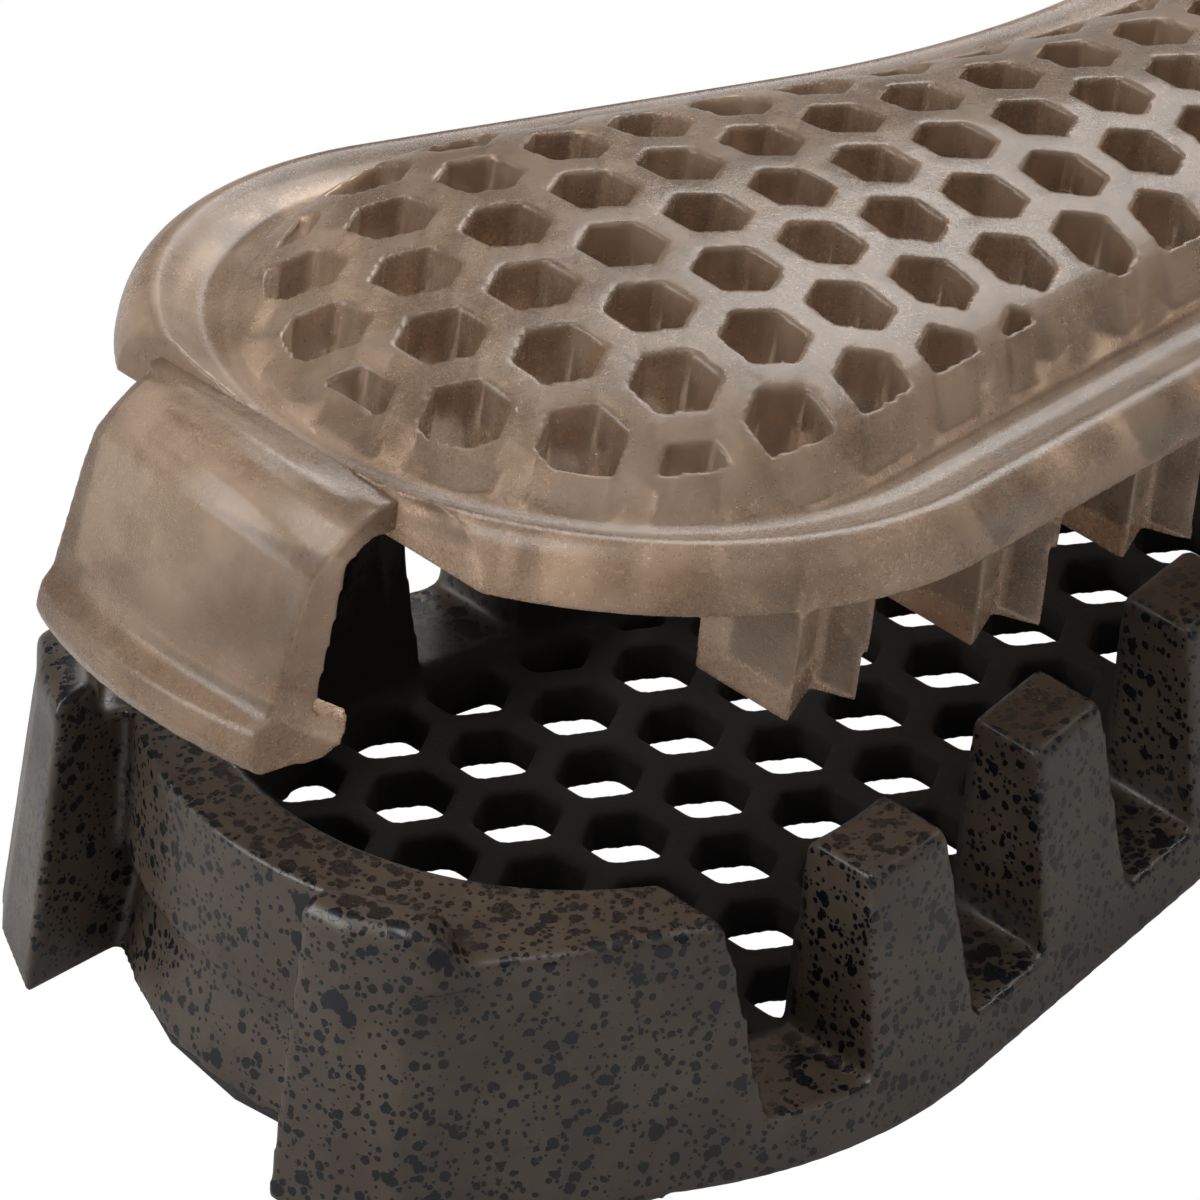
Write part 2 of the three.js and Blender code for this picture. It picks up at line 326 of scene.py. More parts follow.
def honeycombTree():
    # cuts six-sided cells on a staggered lattice, only where the window solid allows them
    tree = newTree("honeycombCells", [
        ("Pitch", "NodeSocketFloat", 0.006),
        ("Cell Radius", "NodeSocketFloat", 0.0024),
        ("Columns", "NodeSocketInt", 27),
        ("Rows", "NodeSocketInt", 9),
        ("Shift", "NodeSocketFloat", 0.0),
        ("Depth", "NodeSocketFloat", 0.05),
        ("Window", "NodeSocketObject", None),
        ("Finish", "NodeSocketMaterial", None),
    ])
    given = tree.nodes.new("NodeGroupInput").outputs
    pitch = given["Pitch"]
    rowStep = mathNode(tree, "MULTIPLY", pitch, math.sqrt(3) / 2)
    sizeX = mathNode(tree, "MULTIPLY", pitch, mathNode(tree, "SUBTRACT", given["Columns"], 1.0))
    sizeY = mathNode(tree, "MULTIPLY", rowStep, mathNode(tree, "SUBTRACT", given["Rows"], 1.0))
    grid = addNode(tree, "GeometryNodeMeshGrid", Size_X=sizeX, Size_Y=sizeY,
                   Vertices_X=given["Columns"], Vertices_Y=given["Rows"])
    place = addNode(tree, "ShaderNodeSeparateXYZ", i0=tree.nodes.new("GeometryNodeInputPosition").outputs[0])
    row = mathNode(tree, "ROUND", mathNode(tree, "DIVIDE", place.outputs[1], rowStep))
    odd = mathNode(tree, "FLOORED_MODULO", row, 2.0)
    sideways = mathNode(tree, "ADD", mathNode(tree, "MULTIPLY", mathNode(tree, "MULTIPLY", odd, 0.5), pitch),
                        given["Shift"])
    offset = addNode(tree, "ShaderNodeCombineXYZ", X=sideways)
    staggered = addNode(tree, "GeometryNodeSetPosition", Geometry=grid.outputs[0], Offset=offset.outputs[0])
    cell = addNode(tree, "GeometryNodeMeshCylinder", Vertices=6, Radius=given["Cell Radius"],
                   Depth=given["Depth"])
    upright = addNode(tree, "GeometryNodeTransform", Geometry=cell.outputs[0],
                      Rotation=(0, 0, math.radians(30)))
    cells = addNode(tree, "GeometryNodeInstanceOnPoints", Points=staggered.outputs[0],
                    Instance=upright.outputs[0])
    solidCells = addNode(tree, "GeometryNodeRealizeInstances", Geometry=cells.outputs[0])
    window = addNode(tree, "GeometryNodeObjectInfo", Object=given["Window"])
    kept = tree.nodes.new("GeometryNodeMeshBoolean")
    kept.operation, kept.solver = "INTERSECT", "MANIFOLD"
    tree.links.new(window.outputs["Geometry"], kept.inputs["Mesh 2"])
    tree.links.new(solidCells.outputs[0], kept.inputs["Mesh 2"])
    cut = tree.nodes.new("GeometryNodeMeshBoolean")
    cut.operation, cut.solver = "DIFFERENCE", "MANIFOLD"
    tree.links.new(given["Geometry"], cut.inputs["Mesh 1"])
    tree.links.new(kept.outputs[0], cut.inputs["Mesh 2"])
    real = addNode(tree, "GeometryNodeRealizeInstances", Geometry=cut.outputs[0])
    finish = addNode(tree, "GeometryNodeSetMaterial", Geometry=real.outputs[0], Material=given["Finish"])
    tree.links.new(finish.outputs[0], tree.nodes.new("NodeGroupOutput").inputs[0])
    return tree


def siteRowTree():
    # sets one shape on every site point, as one mesh
    tree = newTree("rowOnSites", [
        ("Shape", "NodeSocketObject", None),
        ("Size", "NodeSocketFloat", 1.0),
        ("Finish", "NodeSocketMaterial", None),
    ])
    given = tree.nodes.new("NodeGroupInput").outputs
    shape = addNode(tree, "GeometryNodeObjectInfo", Object=given["Shape"])
    size = addNode(tree, "ShaderNodeCombineXYZ", X=given["Size"], Y=given["Size"], Z=given["Size"])
    row = addNode(tree, "GeometryNodeInstanceOnPoints", Points=given["Geometry"],
                  Instance=shape.outputs["Geometry"], Scale=size.outputs[0])
    real = addNode(tree, "GeometryNodeRealizeInstances", Geometry=row.outputs[0])
    finish = addNode(tree, "GeometryNodeSetMaterial", Geometry=real.outputs[0], Material=given["Finish"])
    tree.links.new(finish.outputs[0], tree.nodes.new("NodeGroupOutput").inputs[0])
    return tree


def applyTree(made, tree, values, used=()):
    step = made.modifiers.new(tree.name, "NODES")
    step.node_group = tree
    sockets = {s.name: s.identifier for s in tree.interface.items_tree if s.in_out == "INPUT"}
    for label, value in values.items():
        step[sockets[label]] = value
    made.update_tag()
    return bakeModifiers(made, used)


def rowOfShapes(name, sites, shape, tree, finish):
    row = meshObject(name, sites, [])
    return applyTree(row, tree, {"Shape": shape, "Finish": finish}, [shape])


# Materials


def shaderGroup(name, inputs, outputs):
    tree = bpy.data.node_groups.new(name, "ShaderNodeTree")
    for label, value in inputs:
        kind = "NodeSocketVector" if value is None else "NodeSocketFloat"
        socket = tree.interface.new_socket(label, in_out="INPUT", socket_type=kind)
        if value is not None:
            socket.default_value = value
    for label, kind in outputs:
        tree.interface.new_socket(label, in_out="OUTPUT", socket_type=kind)
    return tree


def noise(tree, place, scale, detail=3.0, rough=0.5):
    node = tree.nodes.new("ShaderNodeTexNoise")
    tree.links.new(place, node.inputs["Vector"])
    for label, value in (("Scale", scale), ("Detail", detail), ("Roughness", rough)):
        if isinstance(value, bpy.types.NodeSocket):
            tree.links.new(value, node.inputs[label])
        else:
            node.inputs[label].default_value = value
    return node


def band(tree, value, low, high, outLow=0.0, outHigh=1.0):
    node = tree.nodes.new("ShaderNodeMapRange")
    node.interpolation_type = "SMOOTHSTEP"
    for i, v in enumerate((value, low, high, outLow, outHigh)):
        if isinstance(v, bpy.types.NodeSocket):
            tree.links.new(v, node.inputs[i])
        else:
            node.inputs[i].default_value = v
    return node.outputs[0]


def speckGroup():
    # paint flecks of one size: irregular drops with their own sizes, some places left bare
    tree = shaderGroup("paintFlecks", [("Place", None), ("Spacing", 2.0), ("Largest", 0.4), ("Share", 0.6),
                                       ("Ragged", 0.3)], [("Fleck", "NodeSocketFloat")])
    given = tree.nodes.new("NodeGroupInput").outputs
    perUnit = mathNode(tree, "DIVIDE", 1.0, given["Spacing"])
    wobble = noise(tree, given["Place"], mathNode(tree, "MULTIPLY", perUnit, 2.6), 3.0, 0.6)
    centred = tree.nodes.new("ShaderNodeVectorMath")
    centred.operation = "SUBTRACT"
    tree.links.new(wobble.outputs["Color"], centred.inputs[0])
    centred.inputs[1].default_value = (0.5, 0.5, 0.5)
    pushed = tree.nodes.new("ShaderNodeVectorMath")
    pushed.operation = "SCALE"
    tree.links.new(centred.outputs[0], pushed.inputs[0])
    tree.links.new(mathNode(tree, "MULTIPLY", given["Ragged"], given["Spacing"]), pushed.inputs["Scale"])
    moved = tree.nodes.new("ShaderNodeVectorMath")
    tree.links.new(given["Place"], moved.inputs[0])
    tree.links.new(pushed.outputs[0], moved.inputs[1])
    drops = tree.nodes.new("ShaderNodeTexVoronoi")
    tree.links.new(moved.outputs[0], drops.inputs["Vector"])
    tree.links.new(perUnit, drops.inputs["Scale"])
    own = tree.nodes.new("ShaderNodeSeparateColor")
    tree.links.new(drops.outputs["Color"], own.inputs[0])
    bare = mathNode(tree, "LESS_THAN", own.outputs[0], given["Share"])
    size = mathNode(tree, "MULTIPLY", mathNode(tree, "POWER", own.outputs[1], 1.8), given["Largest"])
    size = mathNode(tree, "MULTIPLY", mathNode(tree, "ADD", size, 0.1), bare)
    fleck = mathNode(tree, "MULTIPLY", band(tree, mathNode(tree, "SUBTRACT", size, drops.outputs["Distance"]),
                                            -0.01, 0.03), bare)
    tree.links.new(fleck, tree.nodes.new("NodeGroupOutput").inputs[0])
    return tree


def grainGroup():
    # fine moulded grain with a few long handling scratches
    tree = shaderGroup("fineGrain", [("Place", None), ("Grain", 6.0), ("Scratch", 0.5), ("Smoothest", 0.3),
                                     ("Roughest", 0.5)],
                       [("Height", "NodeSocketFloat"), ("Roughness", "NodeSocketFloat"),
                        ("Wear", "NodeSocketFloat")])
    given = tree.nodes.new("NodeGroupInput").outputs
    fine = noise(tree, given["Place"], given["Grain"], 4.0, 0.6).outputs[0]
    broad = noise(tree, given["Place"], 0.11, 3.0, 0.55).outputs[0]
    scratches = None
    for turn, stretch in ((0.5, 0.06), (-0.9, 0.04)):
        mapping = tree.nodes.new("ShaderNodeMapping")
        mapping.inputs["Rotation"].default_value = (0.2, 0.1, turn)
        mapping.inputs["Scale"].default_value = (stretch, 2.2, 1.1)
        tree.links.new(given["Place"], mapping.inputs[0])
        lines = band(tree, noise(tree, mapping.outputs[0], 1.6, 2.0, 0.4).outputs[0], 0.64, 0.70)
        scratches = lines if scratches is None else mathNode(tree, "MAXIMUM", scratches, lines)
    scratches = mathNode(tree, "MULTIPLY", scratches, given["Scratch"])
    height = mathNode(tree, "SUBTRACT", fine, mathNode(tree, "MULTIPLY", scratches, 0.8))
    shine = mathNode(tree, "ADD", mathNode(tree, "MULTIPLY", fine, 0.5),
                     mathNode(tree, "MULTIPLY", broad, 0.5))
    shine = band(tree, shine, 0.3, 0.7, given["Smoothest"], given["Roughest"])
    out = tree.nodes.new("NodeGroupOutput")
    tree.links.new(height, out.inputs[0])
    tree.links.new(mathNode(tree, "ADD", shine, mathNode(tree, "MULTIPLY", scratches, 0.12)), out.inputs[1])
    tree.links.new(scratches, out.inputs[2])
    return tree


def newMaterial(name):
    material = bpy.data.materials.new(name)
    material.use_nodes = True
    tree = material.node_tree
    shader = tree.nodes["Principled BSDF"]
    coords = tree.nodes.new("ShaderNodeTexCoord")
    mapping = tree.nodes.new("ShaderNodeMapping")
    mapping.inputs["Scale"].default_value = (1000, 1000, 1000)  # patterns are sized in millimetres
    tree.links.new(coords.outputs["Object"], mapping.inputs[0])
    return material, tree, shader, mapping.outputs[0]


def placeGroup(tree, group, place, **values):
    node = tree.nodes.new("ShaderNodeGroup")
    node.node_tree = group
    tree.links.new(place, node.inputs["Place"])
    for label, value in values.items():
        node.inputs[label].default_value = value
    return node


def mixColour(tree, factor, first, second):
    node = tree.nodes.new("ShaderNodeMix")
    node.data_type = "RGBA"
    for socket, value in ((node.inputs[0], factor), (node.inputs[6], first), (node.inputs[7], second)):
        if isinstance(value, bpy.types.NodeSocket):
            tree.links.new(value, socket)
        else:
            socket.default_value = value
    return node.outputs[2]


def bump(tree, shader, height, strength, distance):
    node = tree.nodes.new("ShaderNodeBump")
    node.inputs["Strength"].default_value = strength
    node.inputs["Distance"].default_value = distance
    tree.links.new(height, node.inputs["Height"])
    tree.links.new(node.outputs[0], shader.inputs["Normal"])


flecks = speckGroup()
grain = grainGroup()

trayPaint = {
    "olive": (0.070, 0.053, 0.038, 1),
    "oliveDeep": (0.050, 0.037, 0.027, 1),
    "fleck": (0.0035, 0.0040, 0.0065, 1),
    "bare": (0.0035, 0.0028, 0.0022, 1),  # painted shade: near-black standing in for the shade inside the tray
    # spacing in millimetres, largest radius as a share of it, share of places filled, raggedness
    "fleckSizes": ((3.3, 0.24, 0.35, 0.42), (1.4, 0.30, 0.62, 0.42),
                   (0.72, 0.42, 0.90, 0.36), (0.40, 0.46, 0.9, 0.3)),
    "topFlecks": ((1.6, 0.38, 0.85, 0.46), (0.75, 0.52, 0.95, 0.40)),
    "smoothest": 0.30,
    "roughest": 0.45,
}


def trayMaterial():
    material, tree, shader, place = newMaterial("trayPaint")
    wear = placeGroup(tree, grain, place, Grain=5.0, Scratch=0.25, Smoothest=trayPaint["smoothest"],
                      Roughest=trayPaint["roughest"])
    mottle = noise(tree, place, 0.16, 4.0, 0.6).outputs[0]
    paint = mixColour(tree, band(tree, mottle, 0.35, 0.65), trayPaint["oliveDeep"], trayPaint["olive"])
    spray = None
    for spacing, largest, share, ragged in trayPaint["fleckSizes"]:
        layer = placeGroup(tree, flecks, place, Spacing=spacing, Largest=largest, Share=share, Ragged=ragged)
        spray = layer.outputs[0] if spray is None else mathNode(tree, "MAXIMUM", spray, layer.outputs[0])
    facing = tree.nodes.new("ShaderNodeSeparateXYZ")
    tree.links.new(tree.nodes.new("ShaderNodeNewGeometry").outputs["Normal"], facing.inputs[0])
    upward = band(tree, facing.outputs[2], 0.35, 0.75)
    for spacing, largest, share, ragged in trayPaint["topFlecks"]:
        layer = placeGroup(tree, flecks, place, Spacing=spacing, Largest=largest, Share=share, Ragged=ragged)
        spray = mathNode(tree, "MAXIMUM", spray, mathNode(tree, "MULTIPLY", layer.outputs[0], upward))
    painted = mixColour(tree, spray, paint, trayPaint["fleck"])
    # painted shade: points inside the wall get a near-black colour that stands in for the shade inside the
    # tray, and a matte finish
    within = tree.nodes.new("ShaderNodeAttribute")
    within.attribute_name = "within"
    bare = mixColour(tree, within.outputs["Fac"], painted, trayPaint["bare"])
    tree.links.new(bare, shader.inputs["Base Color"])
    gloss = mathNode(tree, "SUBTRACT", wear.outputs["Roughness"], mathNode(tree, "MULTIPLY", spray, 0.08))
    gloss = mathNode(tree, "MAXIMUM", gloss, mathNode(tree, "MULTIPLY", within.outputs["Fac"], 0.85))
    tree.links.new(gloss, shader.inputs["Roughness"])
    height = mathNode(tree, "ADD", mathNode(tree, "MULTIPLY", wear.outputs["Height"], 0.25),
                      mathNode(tree, "MULTIPLY", spray, 0.8))
    bump(tree, shader, height, 0.35, 0.00005)
    shader.inputs["Specular IOR Level"].default_value = 0.5
    return material


capRubber = {
    "smoke": (0.47, 0.345, 0.25, 1),
    "smokeDeep": (0.32, 0.225, 0.155, 1),
    "scratch": (0.60, 0.50, 0.42, 1),
    "seeThrough": 0.72,
    "softness": 0.0,
    "smoothest": 0.22,
    "roughest": 0.36,
}


def capMaterial():
    material, tree, shader, place = newMaterial("smokeRubber")
    wear = placeGroup(tree, grain, place, Grain=3.5, Scratch=0.2, Smoothest=capRubber["smoothest"],
                      Roughest=capRubber["roughest"])
    cloud = noise(tree, place, 0.22, 4.0, 0.6).outputs[0]
    smoke = mixColour(tree, band(tree, cloud, 0.35, 0.65), capRubber["smokeDeep"], capRubber["smoke"])
    tint = mixColour(tree, mathNode(tree, "MULTIPLY", wear.outputs["Wear"], 0.5), smoke, capRubber["scratch"])
    tree.links.new(tint, shader.inputs["Base Color"])
    tree.links.new(wear.outputs["Roughness"], shader.inputs["Roughness"])
    shader.inputs["Transmission Weight"].default_value = capRubber["seeThrough"]
    shader.inputs["IOR"].default_value = 1.38
    shader.inputs["Subsurface Weight"].default_value = capRubber["softness"]
    shader.inputs["Subsurface Radius"].default_value = (1.0, 0.7, 0.5)
    shader.inputs["Subsurface Scale"].default_value = 0.004
    bump(tree, shader, wear.outputs["Height"], 0.25, 0.00005)
    return material


tapeFoam = {"foam": (0.020, 0.020, 0.022, 1), "foamPale": (0.038, 0.038, 0.040, 1)}


def tapeMaterial():
    material, tree, shader, place = newMaterial("tapeFoam")
    wear = placeGroup(tree, grain, place, Grain=9.0, Scratch=0.0, Smoothest=0.75, Roughest=0.95)
    cellsOfFoam = tree.nodes.new("ShaderNodeTexVoronoi")
    tree.links.new(place, cellsOfFoam.inputs["Vector"])
    cellsOfFoam.inputs["Scale"].default_value = 3.0
    colour = mixColour(tree, cellsOfFoam.outputs["Distance"], tapeFoam["foam"], tapeFoam["foamPale"])
    tree.links.new(colour, shader.inputs["Base Color"])
    tree.links.new(wear.outputs["Roughness"], shader.inputs["Roughness"])
    bump(tree, shader, cellsOfFoam.outputs["Distance"], 0.5, 0.0001)
    return material


trayFinish, capFinish, tapeFinish = trayMaterial(), capMaterial(), tapeMaterial()
honeycomb, siteRow = honeycombTree(), siteRowTree()
print("materials ready")


# Tray

traySizes = {
    "wall": 4.9,
    "floorTop": 3.4,
    "holeRadius": 2.46,
    "holeMargin": 5.3,  # holes stop this far inside the rim line
    "notchFloor": 4.3,
    "notchTop": 4.1,
    "notchBottom": 3.1,
    "postWidth": 4.3,
    "postReach": 4.3,
    "postRise": 2.4,
    "voxel": 0.3,
    "edgePasses": 5,
}


def postParts(edge, side):
    start = math.asin(edge / pad["endRadius"])
    turn = side * traySizes["postWidth"] / pad["endRadius"]
    rise = (pad["rimTop"] - pad["trayBottom"]) * pad["draft"]
    outer = pad["endRadius"] + traySizes["postReach"]

    def stem(lean, z):
        return flat([
            onEdge(pad["endRadius"] - 2, edge), onEdge(outer - 0.5 + lean, edge),
            onArc(outer + lean, start + turn * 0.3), onArc(outer + lean, start + turn * 0.95),
            onArc(outer - 0.7 + lean, start + turn * 1.25), onArc(outer - 1.9 + lean, start + turn * 1.6),
            onArc(outer - 2.4 + lean, start + turn * 1.9),
            onArc(pad["endRadius"] + 1.2 + lean, start + turn * 2.5),
            onArc(pad["endRadius"] + lean, start + turn * 3.6),
            onArc(pad["endRadius"] - 2, start + turn * 3.6),
        ], z)

    def head(lean, far, near, z):
        return flat([
            onEdge(pad["capRadius"] + 0.6 + near, edge), onEdge(outer - 0.5 + lean, edge),
            onArc(outer + lean, start + turn * 0.3), onArc(outer + lean, start + turn * far * 0.8),
            onArc(outer + lean - 1.0, start + turn * far),
            onArc(pad["capRadius"] + 0.6 + near, start + turn * far),
        ], z)

    top = pad["rimTop"] + traySizes["postRise"]
    return [
        loftObject("stem", [stem(rise, pad["trayBottom"]), stem(0, pad["rimTop"] - 0.3),
                            stem(-0.3, pad["rimTop"])]),
        loftObject("head", [head(0, 1.55, 0, pad["rimTop"] - 1), head(-0.1, 1.25, 0, top - 0.8),
                            head(-0.5, 1.1, 0.3, top - 0.15), head(-1.0, 1.0, 0.7, top)]),
    ]


def ledgeCutter():
    steps = 24
    far = -pad["endCentre"] - pad["endRadius"] - 9

    def sector(radius, z):
        low, high = math.asin(pad["gapLow"] / radius), math.asin(pad["gapHigh"] / radius)
        arc = [onArc(radius, low + (high - low) * i / steps) for i in range(steps + 1)]
        return flat(arc + [(far, pad["gapHigh"]), (far, pad["gapLow"])], z)

    below = loftObject("below", [sector(pad["endRadius"] + 0.6, pad["trayBottom"] - 1),
                                 sector(pad["endRadius"] - 1.4, pad["ledge"])])
    face = loftObject("face", [  # the rim band stands a little back from the rest of the wall
        sector(pad["endRadius"] + 0.1, pad["ledge"] - 0.2),
        sector(pad["endRadius"] - 0.9, pad["rimTop"] + 5)])
    return [below, face]


def turnedCopy(source):
    copy = source.copy()
    copy.data = source.data.copy()
    copy.data.transform(Matrix.Rotation(math.pi, 4, "Z"))
    bpy.context.scene.collection.objects.link(copy)
    return copy


def notchSites():
    middle = (pad["notchCount"] - 1) / 2
    return [(i - middle) * pad["notchStep"] for i in range(pad["notchCount"])]


def notchRows():
    top, low = traySizes["notchTop"], traySizes["notchBottom"]

    def section(half, z):
        return [(-half, -8.9, z), (half, -8.9, z), (half, 6, z), (-half, 6, z)]

    rows = []
    for side in (1, -1):
        rings = [section(low, traySizes["notchFloor"]), section(top, pad["rimTop"] + 0.5)]
        if side < 0:
            rings = [[(x, -y, z) for x, y, z in ring] for ring in rings]
        shape = loftObject("notchShape", rings)
        sites = [(x, side * halfWidth(x, 0), 0) for x in notchSites()]
        rows.append(rowOfShapes("notches", sites, shape, siteRow, trayFinish))
    return rows


def makeTray():
    rise = pad["rimTop"] - pad["trayBottom"]
    rim = pad["rimTop"]
    tray = loftObject("speckledTray", [
        flat(outline(0.4 - rise * pad["draft"]), pad["trayBottom"]),
        flat(outline(-(rise - 0.4) * pad["draft"]), pad["trayBottom"] + 0.4),
        flat(outline(0), rim - 0.5), flat(outline(0.2), rim - 0.15), flat(outline(0.55), rim),
    ])
    hollow = loftObject("hollow", [
        flat(outline(traySizes["wall"] + 1.0), traySizes["floorTop"]),
        flat(outline(traySizes["wall"] + 0.5), traySizes["floorTop"] + 0.6),
        flat(outline(traySizes["wall"]), rim - 0.5),
        flat(outline(traySizes["wall"] - 0.9), rim + 0.3),
    ])
    posts = postParts(pad["gapLow"], -1) + postParts(pad["gapHigh"], 1)
    posts += [turnedCopy(part) for part in posts]
    combine(tray, posts, "UNION")
    cutters = ledgeCutter()
    cutters += [turnedCopy(part) for part in cutters]
    combine(tray, [hollow] + cutters + notchRows(), "DIFFERENCE")
    window = prism("window", outline(traySizes["wall"] + traySizes["holeMargin"] - 4.4), -5, 30)
    applyTree(tray, honeycomb, {
        "Pitch": pad["cellPitch"] / 1000, "Cell Radius": traySizes["holeRadius"] / 1000,
        "Shift": pad["cellPitch"] / 2000, "Window": window, "Finish": trayFinish,
    }, [window])
    moulded(tray, traySizes["voxel"], traySizes["edgePasses"], 190000)
    return tray


def markInside(made):
    # how far inside the wall each point lies, for the painted shade inside the tray
    within = made.data.attributes.new("within", "FLOAT", "POINT")
    for i, vertex in enumerate(made.data.vertices):
        x, y, z = vertex.co * 1000
        deep = smooth((insetAt(x, y) - traySizes["wall"] + 1.0) / 1.2) * smooth((pad["rimTop"] - 0.6 - z) / 3)
        within.data[i].value = deep


tray = makeTray()
markInside(tray)
tray.data.materials.clear()
tray.data.materials.append(trayFinish)
print("tray ready")


# Grip cap, made shut and then lifted about its hinge

capSizes = {
    "underside": 2.2,  # of the cell plate, above the skirt's lower edge
    "undersideEnds": 0.6,
    "skirtWidth": 6.2,
    "holeRadius": 2.34,
    "window": 7.3,  # cells are cut off this far inside the skirt's edge
    "ribDepth": 6.3,
    "ribHalf": 2.6,
    "ribLead": 0.5,
    "voxel": 0.21,
    "edgePasses": 1,
}
# Heights above the skirt's lower edge, by distance inside its edge: along the sides, and over the ends.
sideProfile = [(0, 0.5), (0.1, 1.4), (0.4, 2.3), (0.9, 2.95), (1.5, 3.35), (2.1, 3.3), (2.8, 2.9), (3.5, 2.6),
               (4.2, 2.55), (5.0, 2.9), (5.6, 3.7), (6.3, 4.9), (7.1, 5.9), (8.7, 6.8), (11.0, 7.5),
               (14.0, 7.9), (18.0, 8.3), (24.3, 8.4)]
endProfile = sideProfile[:8] + [(4.2, 2.3), (5.2, 2.55), (6.2, 3.15), (7.2, 3.75), (8.7, 4.55), (11.0, 5.3),
                                (14.0, 6.0), (18.0, 6.45), (24.3, 6.45)]


def capHeight(x, y):
    inside = insetAt(x, y) + pad["capRadius"] - pad["endRadius"]
    over = smooth((abs(x) - pad["endCentre"] + 6.9) / 21)
    return pad["capBottom"] + along(sideProfile, inside) * (1 - over) + along(endProfile, inside) * over


def capUnder(x, y):
    inside = insetAt(x, y) + pad["capRadius"] - pad["endRadius"]
    if inside < capSizes["skirtWidth"]:
        return pad["capBottom"]
    over = smooth((abs(x) - pad["endCentre"] + 6.9) / 16)
    return pad["capBottom"] + capSizes["underside"] * (1 - over) + capSizes["undersideEnds"] * over


def capRibs():
    half, width = capSizes["ribHalf"], capSizes["skirtWidth"]

    def plan(side, shrink, z):
        loop = [(-half + shrink, -1.3 - width), (half - shrink, -1.3 - width), (half - shrink, -0.4),
                (half * 0.45, -2.8), (-half + shrink, -0.6 - shrink)]
        return [(x, side * y, z) for x, y in loop]

    rows = []
    low = pad["capBottom"] - capSizes["ribDepth"]
    for side in (1, -1):
        shape = loftObject("ribShape", [plan(side, 0.25, low), plan(side, 0.0, pad["capBottom"] + 1.2)])
        sites = []
        for x in notchSites():
            x += capSizes["ribLead"]
            sites.append((x, side * halfWidth(x, pad["endRadius"] - pad["capRadius"]), 0))
        rows.append(rowOfShapes("ribs", sites, shape, siteRow, capFinish))
    return rows


def liftWithCap(made):
    # from the shut place to the rest place
    hinge = Matrix.Translation((pad["facet"] / 1000, 0, pad["hingeHeight"] / 1000))
    turn = Matrix.Rotation(pad["openAngle"], 4, "Y")
    made.data.transform(hinge @ turn @ hinge.inverted())


def makeCap():
    rings = [pad["endRadius"] - pad["capRadius"] + d for d in (
        0, 0.08, 0.2, 0.4, 0.65, 0.9, 1.2, 1.5, 1.8, 2.1, 2.4, 2.7, 3.1, 3.5, 3.9, 4.3, 4.7, 5.0, 5.3,
        5.6, 5.9, 6.19, 6.21, 6.6, 7.2, 8.0, 8.8, 9.8, 10.8)]
    cap = sheetSolid("smokeCap", rings, 1.6, capHeight, capUnder)
    ends = [prism("end", [(pad["facet"], -30), (90, -30), (90, 30), (pad["facet"], 30)], 0, 40)]
    ends.append(turnedCopy(ends[0]))
    combine(cap, ends, "DIFFERENCE")
    window = prism("window", outline(pad["endRadius"] - pad["capRadius"] + capSizes["window"]), 0, 60)
    applyTree(cap, honeycomb, {
        "Pitch": pad["cellPitch"] / 1000, "Cell Radius": capSizes["holeRadius"] / 1000, "Depth": 0.1,
        "Window": window, "Finish": capFinish,
    }, [window])
    joinAll(cap, capRibs())
    moulded(cap, capSizes["voxel"], capSizes["edgePasses"], 195000)
    liftWithCap(cap)
    return cap


cap = makeCap()
cap.data.materials.clear()
cap.data.materials.append(capFinish)
print("cap ready")


# End tabs: a thin roof from the cap's end, a scooped slab down the band and a foot below its ledge

tabSizes = {
    "half": 8.85,
    "slabInner": 24.0,
    "slabOuter": 27.0,
    "crestDrop": 1.6,  # the crest falls this much to its corners
    "voxel": 0.2,
    "edgePasses": 5,
    "overlap": 0.35,
}


def tabSection(y):
    # one slice of the tab across the pad, as (distance from the end arc's centre line, height)
    u = (y - pad["tabCentre"]) / tabSizes["half"]
    rim, ledge = pad["rimTop"], pad["ledge"]
    start = pad["facet"] - tabSizes["overlap"] - pad["endCentre"]
    inner, outer = tabSizes["slabInner"], tabSizes["slabOuter"]
    drop = tabSizes["crestDrop"] * u * u
    scoop = 0.55 * (1 - u * u)
    return [
        (start, rim + 0.75), (inner - 1.2, rim + 0.75), (inner, rim - 0.2), (inner + 1.0, ledge + 0.4),
        (inner + 0.9, ledge - 0.3), (inner - 1.0, ledge - 0.35), (inner - 1.3, ledge - 1.2),
        (inner - 1.0, ledge - 2.4), (inner + 0.2, ledge - 2.9), (outer + 1.2, ledge - 2.6),
        (outer + 1.75, ledge - 1.6), (outer + 1.6, ledge - 0.3), (outer + 0.95 - scoop, ledge + 0.5),
        (outer + 0.35 - scoop, ledge + 3.2), (outer - 0.25 - scoop * 0.6, rim - 2.2),
        (outer - 0.8, rim + 0.5 - drop * 0.6), (outer - 1.6, rim + 2.0 - drop),
        (outer - 2.8, rim + 3.0 - drop),
        (outer - 4.2, rim + 3.2 - drop * 0.7), (start + 1.6, rim + 2.85 - drop * 0.25), (start, rim + 2.6),
    ]


def makeTab(name):
    steps = 26
    rings = []
    for i in range(steps + 1):
        y = pad["tabCentre"] - tabSizes["half"] + 2 * tabSizes["half"] * i / steps
        section = tabSection(y)
        inner = section[0][0]
        ring = []
        for r, z in section:
            if r <= inner + 2:
                ring.append((-pad["endCentre"] - r, y, z))
            else:
                ring.append((-pad["endCentre"] - math.sqrt(max(r * r - y * y, 1)), y, z))
        rings.append(ring)
    tab = loftObject(name, rings)
    return moulded(tab, tabSizes["voxel"], tabSizes["edgePasses"], 60000)


frontTab = makeTab("frontTab")
rearTab = turnedCopy(frontTab)
rearTab.name = rearTab.data.name = "rearTab"
liftWithCap(frontTab)
for tab in (frontTab, rearTab):
    tab.data.materials.clear()
    tab.data.materials.append(capFinish)
print("tabs ready")


# Bodies

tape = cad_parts["mounting_tape"]
tape.data.materials.clear()
tape.data.materials.append(tapeFinish)

